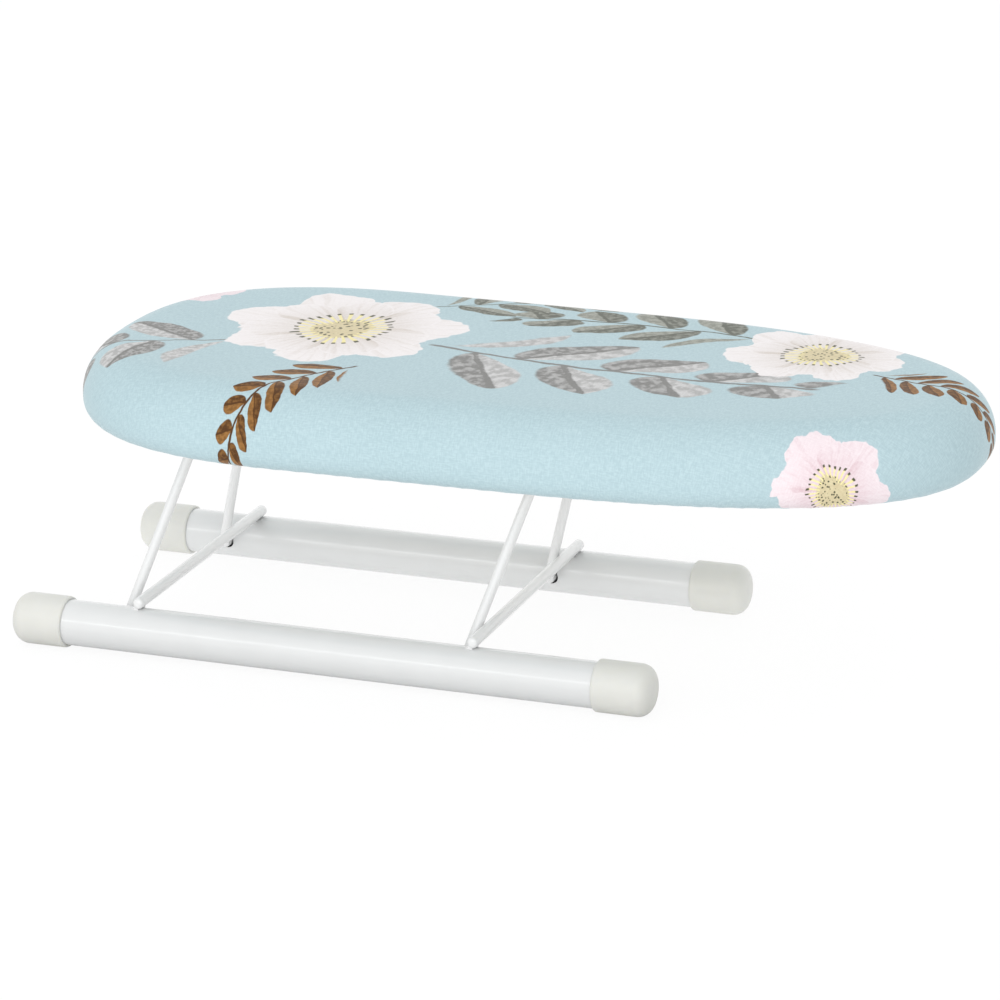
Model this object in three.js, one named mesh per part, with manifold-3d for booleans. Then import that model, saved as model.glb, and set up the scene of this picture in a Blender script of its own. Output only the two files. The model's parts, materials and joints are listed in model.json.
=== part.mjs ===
// Tabletop ironing board: a padded board on two folding wire legs over a pair of tubular feet.
// Millimetres, +Z up. +X points from the broad tail of the board to its free nose, for sleeves.
// The origin lies on the table, below the middle of the object's box. The legs stand at rest.
import * as THREE from "three";
import { mergeVertices } from "three/addons/utils/BufferGeometryUtils.js";
import Module from "manifold-3d";

const degree = Math.PI / 180;

// Fits between neighbouring pieces
const seatGap = 0.3; // between resting or fastened pieces
const footClearance = 1.2; // round a wire end in its foot tube, on the radius
const barClearance = 0.3; // round a top bar in its clips, on the radius
const barGap = 0.6; // between a top bar and the board

// Feet
const tubeDiameter = 25;
const tubeWall = 1;
const tubeSpacing = 164; // between the axes of the two tubes
const footLength = 368; // over the end caps
const capWall = 1.3;
const capEndWall = 2;
const capLength = 31.5; // lip to tip
const capCorner = 8; // rounding of the closed end
const rodDiameter = 6.2;
const rodOverhang = 3; // rod end past the axis of a tube
const rodChamfer = 1;
const rodSlack = { left: 4.5, right: 0 }; // gap from each leg to its rod, beyond a seat

// Folding legs, each one bent wire
const wireDiameter = 5.5;
const pivotInset = 26.1; // left pivot from the lips of the left caps
const legSpacing = 198; // between the pivots of the two legs
const legHeight = 107; // pivot to top bar, standing
const legLean = 18 * degree; // towards the nose, the right leg against its cross rod
const barLength = 50; // straight part of a top bar
const footBend = 5.5; // bend radii, at the middle of the wire
const topBend = 9;
const pivotShoulder = 1; // straight wire between the foot bend and the tube
const pivotReach = 6; // wire end past the wall of the tube

// Padded board, in plan
const boardLength = 500;
const tailWidth = 239; // flanks carried on to the tail tip
const noseWidth = 225; // flanks carried on to the nose tip
const tailRound = 150; // length of the curve at each end
const noseRound = 230;
const tailPower = 2.39; // 2 is an ellipse, more is squarer
const nosePower = 2.43;
const tailOverhang = 70.6; // tail tip to the nearer top bar

// Padded board, in section
const rimTop = 28; // rounding of the upper edge
const rimBand = 2; // upright part of the edge
const rimBottom = 12; // rounding of the lower edge
const coverThickness = 1;
const coverTurn = 18; // flat cloth turned under the board
const hemDiameter = 4;
const coreThickness = 9;
const coreMargin = 2; // core edge inside the lower rounding
const coreChamfer = 1;

// Saddle clips and their screws
const clipSpacing = 26; // between the two clips on a bar
const clipWidth = 12;
const clipThickness = 1.2;
const flangeMargin = 1; // flange beyond the screw head
const screwHeadDiameter = 7;
const screwHeadHeight = 2;
const screwShankDiameter = 3.5;
const screwCover = 2; // core left above a screw
const screwTip = 2; // length of the point

// Facets
const tubeSides = 32;
const wireSides = 10;
const smallSides = 14;
const hemSides = 8;
const bendSteps = 5;
const capSteps = 5;
const rimSteps = 4;
const outlineSteps = 28; // along each flank
const cutMargin = 5; // how far a cutter runs past what it cuts

// Radii, heights and places that follow from the sizes above
const tubeRadius = tubeDiameter / 2;
const capBore = tubeRadius + seatGap;
const capRadius = capBore + capWall;
const rodRadius = rodDiameter / 2;
const wireRadius = wireDiameter / 2;
const footHole = wireRadius + footClearance;
const clipBore = wireRadius + barClearance;
const screwRadius = screwShankDiameter / 2;
const screwHole = screwRadius + seatGap;
const axisHeight = capRadius;
const footY = tubeSpacing / 2;
const tubeLength = footLength - 2 * capCorner;
const rodRise = tubeRadius + seatGap + rodRadius; // rod above the axis of a tube
const stopOffset =
  (wireRadius + rodRadius + seatGap) / Math.cos(legLean) + rodRise * Math.tan(legLean);
const leftPivot = capLength + pivotInset - footLength / 2;
const pivotX = { left: leftPivot, right: leftPivot + legSpacing };
const barOffset = legHeight * Math.tan(legLean);
const barHeight = axisHeight + legHeight;
const padGap = coverThickness + seatGap; // cover face to what lies inside it
const coreInset = rimBottom + coreMargin;
const turnInset = rimBottom + coverTurn;
const coreRise = wireRadius + barGap; // core above the axis of a bar
const boardBase = barHeight + coreRise - padGap; // outer face of the cloth under the board
const tailX = pivotX.left + barOffset - tailOverhang;
const clipOuter = clipBore + clipThickness;
const clipFlange = screwHeadDiameter + 2 * flangeMargin;
const screwOffset = clipOuter + clipFlange / 2;
const screwDepth = coreThickness - screwCover;
const flangeTop = coreRise - seatGap; // above the axis of a bar
const flangeBottom = flangeTop - clipThickness;

const wasm = await Module();
wasm.setup();

const whitePaint = new THREE.MeshStandardMaterial({ color: 0xf0f1f2, roughness: 0.3, metalness: 0.1 });
const capPlastic = new THREE.MeshStandardMaterial({ color: 0xe8eae2, roughness: 0.45, metalness: 0 });
const blueCotton = new THREE.MeshStandardMaterial({ color: 0xbed6dc, roughness: 0.9, metalness: 0 });
const foam = new THREE.MeshStandardMaterial({ color: 0xf3efe2, roughness: 1, metalness: 0 });
const fibreboard = new THREE.MeshStandardMaterial({ color: 0xd8d4cb, roughness: 0.85, metalness: 0 });
const zincSteel = new THREE.MeshStandardMaterial({ color: 0xb9bdc1, roughness: 0.35, metalness: 0.9 });

function addMesh(parent, name, geometry, material) {
  const mesh = new THREE.Mesh(geometry, material);
  mesh.name = name;
  parent.add(mesh);
  return mesh;
}

// Cutting one closed geometry by others

function toSolid(geometry) {
  const bare = new THREE.BufferGeometry();
  bare.setAttribute("position", geometry.getAttribute("position"));
  bare.setIndex(geometry.index);
  const merged = mergeVertices(bare);
  return new wasm.Manifold(
    new wasm.Mesh({
      numProp: 3,
      vertProperties: merged.getAttribute("position").array,
      triVerts: new Uint32Array(merged.index.array),
    }),
  );
}

function cut(geometry, cutters) {
  let solid = toSolid(geometry);
  for (const cutter of cutters) {
    solid = solid.subtract(toSolid(cutter));
  }
  const mesh = solid.getMesh();
  const result = new THREE.BufferGeometry();
  result.setAttribute("position", new THREE.BufferAttribute(mesh.vertProperties, 3));
  result.setIndex(new THREE.BufferAttribute(mesh.triVerts, 1));
  return result;
}

// Turned shapes: a profile of [radius, distance] pairs, turned about X or Z

function turned(profile, sides, axis) {
  const points = profile.map(([radius, distance]) => new THREE.Vector2(radius, distance));
  const geometry = new THREE.LatheGeometry(points, sides);
  return axis === "x" ? geometry.rotateZ(-Math.PI / 2) : geometry.rotateX(Math.PI / 2);
}

// An arc as [x, y] pairs. With a height of its own it is part of an ellipse.

function arc(centre, radius, from, to, steps, height = radius) {
  return Array.from({ length: steps + 1 }, (_, i) => {
    const angle = from + ((to - from) * i) / steps;
    return [centre[0] + radius * Math.cos(angle), centre[1] + height * Math.sin(angle)];
  });
}

// A skin through rings of equal counts of points, each ring joined to the next.
// An open loft is closed by a fan of triangles at its first and last ring.

function loft(rings, closed) {
  const count = rings[0].length;
  const positions = rings.flat().flatMap((point) => point.toArray());
  const index = [];
  const spans = closed ? rings.length : rings.length - 1;
  for (let r = 0; r < spans; r += 1) {
    const here = r * count;
    const above = ((r + 1) % rings.length) * count;
    for (let i = 0; i < count; i += 1) {
      const j = (i + 1) % count;
      index.push(here + i, here + j, above + j, here + i, above + j, above + i);
    }
  }
  const ends = closed ? [] : [0, rings.length - 1];
  for (const end of ends) {
    const middle = new THREE.Vector3();
    rings[end].forEach((point) => middle.addScaledVector(point, 1 / count));
    const centre = positions.length / 3;
    positions.push(...middle.toArray());
    for (let i = 0; i < count; i += 1) {
      const first = end * count + i;
      const second = end * count + ((i + 1) % count);
      index.push(...(end === 0 ? [centre, second, first] : [centre, first, second]));
    }
  }
  const geometry = new THREE.BufferGeometry();
  geometry.setAttribute("position", new THREE.Float32BufferAttribute(positions, 3));
  geometry.setIndex(index);
  return geometry;
}

// Feet: two tubes with end caps, and two cross rods that tie them. The right rod stops the legs.

function footTube(side) {
  const bore = tubeRadius - tubeWall;
  const profile = [
    [bore, -tubeLength / 2],
    [tubeRadius, -tubeLength / 2],
    [tubeRadius, tubeLength / 2],
    [bore, tubeLength / 2],
    [bore, -tubeLength / 2],
  ];
  const cutterLength = tubeRadius + cutMargin;
  const holes = Object.values(pivotX).map((x) =>
    new THREE.CylinderGeometry(footHole, footHole, cutterLength, smallSides).translate(
      x,
      (-side * cutterLength) / 2,
      0,
    ),
  );
  return cut(turned(profile, tubeSides, "x"), holes);
}

function endCap() {
  const centre = [capRadius - capCorner, -capCorner];
  const inside = arc(
    centre,
    capBore - centre[0],
    Math.PI / 2,
    0,
    capSteps,
    capCorner - capEndWall,
  );
  const outside = arc(centre, capCorner, 0, Math.PI / 2, capSteps);
  const profile = [
    [0, -capEndWall],
    ...inside,
    [capBore, -capLength],
    [capRadius, -capLength],
    ...outside,
    [0, 0],
  ];
  return turned(profile, tubeSides, "x");
}

function crossRod() {
  const half = footY + rodOverhang;
  const profile = [
    [0, -half],
    [rodRadius - rodChamfer, -half],
    [rodRadius, -half + rodChamfer],
    [rodRadius, half - rodChamfer],
    [rodRadius - rodChamfer, half],
    [0, half],
  ];
  return turned(profile, smallSides, "z").rotateX(Math.PI / 2);
}

function buildFeet() {
  const feet = new THREE.Group();
  for (const [label, side] of [["front", -1], ["rear", 1]]) {
    const tube = addMesh(feet, `${label}_foot_tube`, footTube(side), whitePaint);
    tube.position.set(0, side * footY, axisHeight);
    for (const [end, way] of [["left", -1], ["right", 1]]) {
      const cap = addMesh(feet, `${label}_${end}_end_cap`, endCap(), capPlastic);
      cap.position.set((way * footLength) / 2, side * footY, axisHeight);
      cap.rotation.z = way > 0 ? 0 : Math.PI;
    }
  }
  for (const [label, x] of Object.entries(pivotX)) {
    const rod = addMesh(feet, `${label}_cross_rod`, crossRod(), whitePaint);
    rod.position.set(x + stopOffset + rodSlack[label], 0, axisHeight + rodRise);
  }
  return feet;
}

// Legs: one wire from pivot to pivot, in its own plane of width y and height s.
// The side of the frame is the straight line that touches both bends.

function legPath() {
  const shoulder = footY - tubeRadius - pivotShoulder;
  const acrossBends = barLength / 2 - shoulder;
  const upBends = legHeight / Math.cos(legLean) - topBend - footBend;
  const bends = footBend + topBend;
  const centres = Math.hypot(acrossBends, upBends);
  const heading = Math.atan2(upBends, acrossBends) - Math.asin(bends / centres);
  const turn = Math.PI - heading;
  const path = [{ y: shoulder + pivotShoulder + tubeWall + pivotReach, s: 0, heading: Math.PI }];
  const run = (length) => {
    const last = path.at(-1);
    path.push({
      y: last.y + length * Math.cos(last.heading),
      s: last.s + length * Math.sin(last.heading),
      heading: last.heading,
    });
  };
  const bend = (radius, angle) => {
    const step = angle / bendSteps;
    const chord = 2 * radius * Math.sin(Math.abs(step) / 2);
    for (let i = 0; i < bendSteps; i += 1) {
      const last = path.at(-1);
      path.push({
        y: last.y + chord * Math.cos(last.heading + step / 2),
        s: last.s + chord * Math.sin(last.heading + step / 2),
        heading: last.heading + step,
      });
    }
  };
  run(pivotReach + tubeWall + pivotShoulder);
  bend(footBend, -turn);
  run(Math.sqrt(centres ** 2 - bends ** 2));
  bend(topBend, turn);
  const mirrored = path.map((place) => ({
    y: -place.y,
    s: place.s,
    heading: 2 * Math.PI - place.heading,
  }));
  return [...path, ...mirrored.reverse()];
}

function legFrame() {
  const rings = legPath().map(({ y, s, heading }) =>
    arc([0, 0], wireRadius, 0, 2 * Math.PI, wireSides)
      .slice(1)
      .map(([across, x]) => new THREE.Vector3(
        x,
        y - across * Math.sin(heading),
        s + across * Math.cos(heading),
      )),
  );
  return loft(rings, false);
}

function buildLegs() {
  const legs = new THREE.Group();
  for (const [label, x] of Object.entries(pivotX)) {
    const leg = addMesh(legs, `${label}_leg_frame`, legFrame(), whitePaint);
    leg.position.set(x, 0, axisHeight);
    leg.rotation.y = legLean;
  }
  return legs;
}

// Board: x runs from the tail tip, z from the outer face of the cloth under the board

function halfWidth(x) {
  const flank = (tailWidth + ((noseWidth - tailWidth) * x) / boardLength) / 2;
  const tail = 1 - Math.min(x / tailRound, 1);
  const nose = 1 - Math.min((boardLength - x) / noseRound, 1);
  const tailShare = (1 - tail ** tailPower) ** (1 / tailPower);
  const noseShare = (1 - nose ** nosePower) ** (1 / nosePower);
  return flank * tailShare * noseShare;
}

function boardOutline() {
  const count = 2 * outlineSteps;
  const points = Array.from({ length: count }, (_, i) => {
    const x = (boardLength * (1 - Math.cos((Math.PI * i) / outlineSteps))) / 2;
    const side = i < outlineSteps ? -1 : 1;
    return new THREE.Vector2(x, side * halfWidth(x));
  });
  return points.map((point, i) => {
    const along = points[(i + 1) % count].clone().sub(points[(i + count - 1) % count]).normalize();
    return { point, inward: new THREE.Vector2(-along.y, along.x) };
  });
}

const outline = boardOutline();

function ring([inset, z]) {
  return outline.map(({ point, inward }) => {
    const moved = point.clone().addScaledVector(inward, inset);
    return new THREE.Vector3(moved.x, moved.y, z);
  });
}

// The rounded edge of the board as [inset, z], from underneath to the top, at a depth in the cover

function rim(depth) {
  return [
    ...arc([rimBottom, rimBottom], rimBottom - depth, 1.5 * Math.PI, Math.PI, rimSteps),
    ...arc([rimTop, rimBottom + rimBand], rimTop - depth, Math.PI, Math.PI / 2, rimSteps),
  ];
}

function cottonCover() {
  const profile = [
    ...rim(coverThickness).reverse(),
    [turnInset, coverThickness],
    [turnInset, 0],
    ...rim(0),
  ];
  return loft(profile.map(ring), false);
}

function coverHem() {
  const radius = hemDiameter / 2;
  const centre = [turnInset + seatGap + radius, coverThickness - radius];
  const profile = arc(centre, radius, 2 * Math.PI, 0, hemSides).slice(1);
  return loft(profile.map(ring), true);
}

function foamPad() {
  const recess = coreInset - seatGap;
  const profile = [
    [recess, padGap + coreThickness + seatGap],
    [recess, padGap],
    ...rim(padGap),
  ];
  return loft(profile.map(ring), false);
}

function boardCore() {
  const top = padGap + coreThickness;
  const profile = [
    [coreInset + coreChamfer, padGap],
    [coreInset, padGap + coreChamfer],
    [coreInset, top - coreChamfer],
    [coreInset + coreChamfer, top],
  ];
  const depth = screwDepth + seatGap + cutMargin;
  const holes = screwPlaces().map(({ x, y }) =>
    new THREE.CylinderGeometry(screwHole, screwHole, depth, smallSides)
      .rotateX(Math.PI / 2)
      .translate(x - tailX, y, padGap - cutMargin + depth / 2),
  );
  return cut(loft(profile.map(ring), false), holes);
}

// Clips: a strap round the top bar, x and z measured from the axis of the bar

function clipPlaces() {
  return Object.entries(pivotX).flatMap(([label, x]) =>
    [["front", -1], ["rear", 1]].map(([end, side]) => ({
      name: `${label}_${end}_clip`,
      x: x + barOffset,
      y: (side * clipSpacing) / 2,
    })),
  );
}

function screwPlaces() {
  return clipPlaces().flatMap(({ name, x, y }) =>
    [["tail", -1], ["nose", 1]].map(([end, way]) => ({
      name: `${name}_${end}_screw`,
      x: x + way * screwOffset,
      y,
    })),
  );
}

function saddleClip() {
  const reach = clipOuter + clipFlange;
  const strap = new THREE.Shape();
  strap.moveTo(-reach, flangeTop);
  strap.lineTo(-reach, flangeBottom);
  strap.lineTo(-clipOuter, flangeBottom);
  strap.absarc(0, 0, clipOuter, Math.PI, 2 * Math.PI, false);
  strap.lineTo(clipOuter, flangeBottom);
  strap.lineTo(reach, flangeBottom);
  strap.lineTo(reach, flangeTop);
  strap.lineTo(clipBore, flangeTop);
  strap.absarc(0, 0, clipBore, 2 * Math.PI, Math.PI, true);
  strap.lineTo(-clipBore, flangeTop);
  strap.closePath();
  const body = new THREE.ExtrudeGeometry(strap, {
    depth: clipWidth,
    bevelEnabled: false,
    curveSegments: bendSteps,
  });
  body.translate(0, 0, -clipWidth / 2).rotateX(Math.PI / 2);
  const depth = clipThickness + 2 * cutMargin;
  const holes = [-1, 1].map((way) =>
    new THREE.CylinderGeometry(screwHole, screwHole, depth, smallSides)
      .rotateX(Math.PI / 2)
      .translate(way * screwOffset, 0, flangeTop - clipThickness / 2),
  );
  return cut(body, holes);
}

function clipScrew() {
  const headRadius = screwHeadDiameter / 2;
  const headTop = flangeBottom - seatGap;
  const headBottom = headTop - screwHeadHeight;
  const tip = coreRise + screwDepth;
  const profile = [
    [0, headBottom],
    [headRadius - screwHeadHeight / 2, headBottom],
    [headRadius, headBottom + screwHeadHeight / 2],
    [headRadius, headTop],
    [screwRadius, headTop],
    [screwRadius, tip - screwTip],
    [0, tip],
  ];
  return turned(profile, smallSides, "z");
}

function buildBoard() {
  const board = new THREE.Group();
  const padding = new THREE.Group();
  padding.position.set(tailX, 0, boardBase);
  addMesh(padding, "board_core", boardCore(), fibreboard);
  addMesh(padding, "foam_pad", foamPad(), foam);
  addMesh(padding, "cotton_cover", cottonCover(), blueCotton);
  addMesh(padding, "cover_hem", coverHem(), blueCotton);
  board.add(padding);
  for (const { name, x, y } of clipPlaces()) {
    addMesh(board, name, saddleClip(), whitePaint).position.set(x, y, barHeight);
  }
  for (const { name, x, y } of screwPlaces()) {
    addMesh(board, name, clipScrew(), zincSteel).position.set(x, y, barHeight);
  }
  return board;
}

const ironingBoard = new THREE.Group();
ironingBoard.add(buildFeet(), buildLegs(), buildBoard());
const leftEnd = Math.min(-footLength / 2, tailX);
const rightEnd = Math.max(footLength / 2, tailX + boardLength);
ironingBoard.position.x = -(leftEnd + rightEnd) / 2;

export default ironingBoard;
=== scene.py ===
import json
import math

import bmesh
import bpy
import numpy as np
from mathutils import Matrix, Vector


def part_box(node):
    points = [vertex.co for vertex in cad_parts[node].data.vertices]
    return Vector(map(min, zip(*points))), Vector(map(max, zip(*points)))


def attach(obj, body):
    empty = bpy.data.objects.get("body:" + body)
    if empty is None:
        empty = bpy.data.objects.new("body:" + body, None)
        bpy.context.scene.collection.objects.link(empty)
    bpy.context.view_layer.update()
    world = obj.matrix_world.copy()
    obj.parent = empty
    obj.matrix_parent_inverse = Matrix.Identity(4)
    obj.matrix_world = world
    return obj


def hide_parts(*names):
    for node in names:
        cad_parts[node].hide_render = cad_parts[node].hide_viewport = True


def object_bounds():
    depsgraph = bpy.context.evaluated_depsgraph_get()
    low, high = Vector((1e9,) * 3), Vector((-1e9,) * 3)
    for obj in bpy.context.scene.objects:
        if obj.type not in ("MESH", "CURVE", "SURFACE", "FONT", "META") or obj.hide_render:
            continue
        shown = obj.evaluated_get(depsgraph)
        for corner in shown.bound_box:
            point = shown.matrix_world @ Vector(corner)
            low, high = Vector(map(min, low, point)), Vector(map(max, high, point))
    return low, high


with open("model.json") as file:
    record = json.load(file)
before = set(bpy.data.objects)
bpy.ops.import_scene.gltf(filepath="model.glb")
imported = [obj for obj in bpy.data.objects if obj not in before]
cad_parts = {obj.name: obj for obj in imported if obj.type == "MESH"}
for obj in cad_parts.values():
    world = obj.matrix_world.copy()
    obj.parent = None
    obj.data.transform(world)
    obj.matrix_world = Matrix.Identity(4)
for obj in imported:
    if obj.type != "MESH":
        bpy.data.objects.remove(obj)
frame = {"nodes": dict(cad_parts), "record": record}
cad_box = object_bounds()

X, Y, Z = range(3)
MM = 0.001

# Camera, fitted to the photograph
IMAGE_SIDE = 1000  # pixels
AZIMUTH = math.radians(20.837)
ELEVATION = math.radians(18.425)
ROLL = math.radians(-0.851)
FOCAL_LENGTH = 4324.6  # pixels
AIM = Vector((-85.083, 0, 14.1)) * MM  # a point of the object
AIM_PIXEL = (372.06, 601.78)  # where the photograph has that point
AIM_DISTANCE = 2383.7 * MM  # along the view
SENSOR = 36  # millimetres, as Blender counts it
VIEW_REACH = 50  # metres

# Feet
TUBE_WALL = 1 * MM
TUBE_SIDES = 96
HOLE_RADIUS = 3.95 * MM  # round a wire end, in a tube's inner side
CAP_WALL = 1.5 * MM
CAP_CORNER = 8 * MM
CAP_CROWN = 0.5 * MM  # rise of the closed end
LIP_ROUND = Vector((1.0, 1.6)) * MM  # across and along the cap
ROD_ROUND = 2 * MM
WELD_RADIUS = 2.3 * MM  # of the hollow fillet between rod and tube
WELD_REACH = (-2.4 * MM, 6.5 * MM)  # along the rod, from the tube's axis inwards
WELD_LEAST = 0.52  # least radius, as a share of the gap under the rod

# Legs
WIRE_RADIUS = 2.75 * MM
WIRE_SIDES = 28
BAR_LENGTH = 50 * MM
FOOT_BEND = 5.5 * MM
TOP_BEND = 9 * MM
BEND_STEPS = 14
PIVOT_SHOULDER = 1 * MM
PIVOT_REACH = 6 * MM

# Board, in plan
TAIL_WIDTH = 239 * MM
NOSE_WIDTH = 225 * MM
TAIL_ROUND = 150 * MM
NOSE_ROUND = 230 * MM
TAIL_POWER = 2.39
NOSE_POWER = 2.43

# Board, in section
RIM_TOP = 28 * MM
RIM_BAND = 2 * MM
RIM_BOTTOM = 12 * MM
CORE_MARGIN = 2 * MM
CORE_THICKNESS = 9 * MM
PAD_GAP = 1.3 * MM  # outer face of the cover to the pad
SEAT_GAP = 0.3 * MM
COVER_TURN = 19.5 * MM  # flat cloth under the board, with what runs into the hem
CLOTH = 0.8 * MM
CROWN = 0.7 * MM  # rise of the soft top in the middle

# Cloth
OUTLINE_POINTS = 520
OUTLINE_STEPS = 3000  # along a flank, before its points are spread evenly
RIM_STEPS = (40, 24)  # round the upper and the lower edge, likewise
SECTION_STEPS = 36
TOP_RINGS = 14
SIM_FRAMES = 24
PUCKERS = 104  # round the whole cover
PUCKER_HEIGHT = 2.1 * MM  # at the hem, before the cloth settles
PUCKER_FADE = 2  # power of the fade, from the hem to the smooth edge
PUCKER_LIMITS = (-0.35 * MM, 2.6 * MM)  # how far the cloth may sink or stand off
HEM_INSET = 32.3 * MM
HEM_DROP = 1 * MM
HEM_RADII = (2.2 * MM, 1.8 * MM)  # across and up
HEM_SWELL = (0.16, 0.10)  # shares of the radii, by the gathers and by the crimps
HEM_SWAY = 0.35 * MM  # up and down with the gathers
CRIMPS = 2.6 * PUCKERS
HEM_SIDES = 14
HEM_POINTS = 1600
STITCH_PITCH = 4 * MM
STITCH_SIZE = (1.25 * MM, 0.28 * MM)  # half length and radius
STITCH_OFFSET = 1.2 * MM  # outside the hem
STITCH_DROP = 0.5 * MM
THREAD_PITCH = 0.62 * MM
CUT_SHARE = 0.9  # area of the cut cloth in the rectangle round it

# Clips and screws
CLIP_THICKNESS = 1.2 * MM
CLIP_CORNER = 3 * MM
CLIP_BEND = 1.1 * MM
CLIP_BEVEL = 0.22 * MM
BEVEL_ANGLE = math.radians(50)
CLIP_STEPS = 70
CLIP_ROWS = 7
SCREW_HOLE = 2.05 * MM
HOLE_SIDES = 28
HOLE_REACH = 5 * MM  # of a cutter, to both sides of the strap
HEAD_HEIGHT = 2 * MM
HEAD_ROUND = 0.9 * MM
HEAD_FLAT = Vector((1.575, 0.06)) * MM  # reach and rise of the flat of the head
SHANK_RADIUS = 1.75 * MM
SCREW_TIP = 2 * MM
SCREW_SIDES = 40
SCREW_TURNS = (0.5, 1.9)  # radians, of the first and from each to the next
RECESS = Vector((2.1, 0.45, 1.1)) * MM  # half length, half width and depth of the cross
RECESS_TAPER = 0.7
RECESS_BELOW = 1 * MM  # of a cutter, outside the head

# Whites and greys as a screen shows them, dull and bright
TUBE_WHITES = ((211, 212, 212), (217, 218, 218))
# The wires' white is the tubes' paint made lighter, as painted light on the thin wires and clips
LIT_WIRE_WHITES = ((222, 223, 223), (228, 228, 228))
CAP_WHITES = ((208, 208, 203), (216, 216, 211))
FLOOR_GREYS = ((84, 84, 84), (88, 88, 88))
PAPER_GREYS = ((206, 206, 206), (212, 212, 212))

# Light, with its places in metres
FLOOR_GLOW = 0.91
PAPER_HALF = 6.0
PAPER_DROP = 0.5 * MM
# The unseen paper under the floor glows as painted light, and a band of it under the front foot is dimmer
# as painted shade
PAINTED_SHADE_LINE = -0.11  # along Y, of a dim band of the paper under the front foot
PAINTED_SHADE_REACH = (0.02, 0.13)  # half widths where the band begins to fade and where it ends
PAPER_GLOW = (0.15, 0.48)  # in the band and beyond it
GLOW = 1.12
FRONT_GAIN = 0.35
SIDE_LOSS = 0.6
KEY_LIGHT = ((0.6, -2.05, 1.0), (1.9, 1.4), 9)  # place, size and power
STRIP_LIGHT = ((-0.9, -1.9, 0.85), (1.9, 0.16), 4.5)
WHITE = (1.0, 1.0, 1.0, 1.0)

# Mesh edges
SHARP = math.radians(35)
POINT_MERGE = 0.001 * MM
CUT_MERGE = 0.01 * MM  # points of a cut that are nearer than this become one


# Meshes


def arc(centre, radius, start, end, steps):
    """Points of an arc, with the angles in degrees."""
    angles = np.radians(np.linspace(start, end, steps + 1))
    return [(centre[0] + radius * np.cos(a), centre[1] + radius * np.sin(a)) for a in angles]


def loop_faces(rows, count, closed=False):
    """Quads between rows of points, where each row is a loop."""
    faces = []
    for row in range(rows if closed else rows - 1):
        here = row * count
        there = (row + 1) % rows * count
        for i in range(count):
            j = (i + 1) % count
            faces.append((here + i, here + j, there + j, there + i))
    return faces


def closed_faces(rows, count):
    """Quads between rows of points that are loops, and a face over each end."""
    last = (rows - 1) * count
    return [*loop_faces(rows, count), tuple(range(count)), tuple(range(last, last + count))]


def turned(profile, sides, axis, closed=False):
    """A profile of (radius, place) pairs, turned about an axis through the origin."""
    turn = np.arange(sides) * 2 * np.pi / sides
    radius, place = np.array(profile).T
    points = np.empty((len(profile), sides, 3))
    points[..., axis] = place[:, None]
    points[..., (axis + 1) % 3] = radius[:, None] * np.cos(turn)
    points[..., (axis + 2) % 3] = radius[:, None] * np.sin(turn)
    return points.reshape(-1, 3), loop_faces(len(profile), sides, closed)


def joined(shapes):
    """Several (points, faces) pairs as one."""
    points = []
    faces = []
    for shape_points, shape_faces in shapes:
        start = len(points)
        points.extend(map(tuple, shape_points))
        faces.extend(tuple(start + i for i in face) for face in shape_faces)
    return points, faces


def new_mesh(name, points, faces):
    """A closed mesh with its faces out, smooth but for its sharp edges."""
    mesh = bpy.data.meshes.new(name)
    mesh.from_pydata([tuple(point) for point in points], [], faces)
    shape = bmesh.new()
    shape.from_mesh(mesh)
    bmesh.ops.remove_doubles(shape, verts=shape.verts, dist=POINT_MERGE)
    bmesh.ops.recalc_face_normals(shape, faces=shape.faces)
    shape.to_mesh(mesh)
    shape.free()
    mesh.shade_smooth()
    mesh.set_sharp_from_angle(angle=SHARP)
    return mesh


def new_object(name, mesh, place=(0, 0, 0)):
    obj = bpy.data.objects.new(name, mesh)
    obj.location = place
    bpy.context.scene.collection.objects.link(obj)
    return obj


def dress(obj, material, body, slot, *nodes):
    """Gives a piece its finish and its body, and hides the CAD nodes that it stands for."""
    if not obj.data.materials:
        obj.data.materials.append(material)
    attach(obj, body)
    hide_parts(*nodes)
    return obj


def settled(obj):
    """Turns an object's modifiers into mesh."""
    bpy.context.view_layer.update()
    evaluated = obj.evaluated_get(bpy.context.evaluated_depsgraph_get())
    mesh = bpy.data.meshes.new_from_object(evaluated)
    obj.modifiers.clear()
    obj.data = mesh
    return obj


def carved(obj, cutters):
    """Cuts closed shapes, given as (points, faces), out of an object."""
    tools = []
    for points, faces in cutters:
        tool = new_object("cutter", new_mesh("cutter", points, faces))
        modifier = obj.modifiers.new("cut", "BOOLEAN")
        modifier.operation = "DIFFERENCE"
        modifier.solver = "EXACT"
        modifier.object = tool
        tools.append(tool)
    settled(obj)
    for tool in tools:
        bpy.data.objects.remove(tool)
    clean_cut(obj.data)
    obj.data.set_sharp_from_angle(angle=SHARP)
    return obj


def clean_cut(mesh):
    """Closes the tiny edges that a cut leaves, and splits its faces of many corners."""
    shape = bmesh.new()
    shape.from_mesh(mesh)
    bmesh.ops.remove_doubles(shape, verts=shape.verts, dist=CUT_MERGE)
    many = [face for face in shape.faces if len(face.verts) > 4]
    bmesh.ops.triangulate(shape, faces=many, ngon_method="BEAUTY")
    bmesh.ops.dissolve_degenerate(shape, edges=shape.edges, dist=CUT_MERGE)
    shape.to_mesh(mesh)
    shape.free()


# Shaders


def colour(red, green, blue):
    """A colour as a screen shows it, 0 to 255, in the linear values that shaders take."""
    shares = (np.array((red, green, blue)) / 255).tolist()
    return (*(((s + 0.055) / 1.055) ** 2.4 if s > 0.04045 else s / 12.92 for s in shares), 1)


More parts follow.
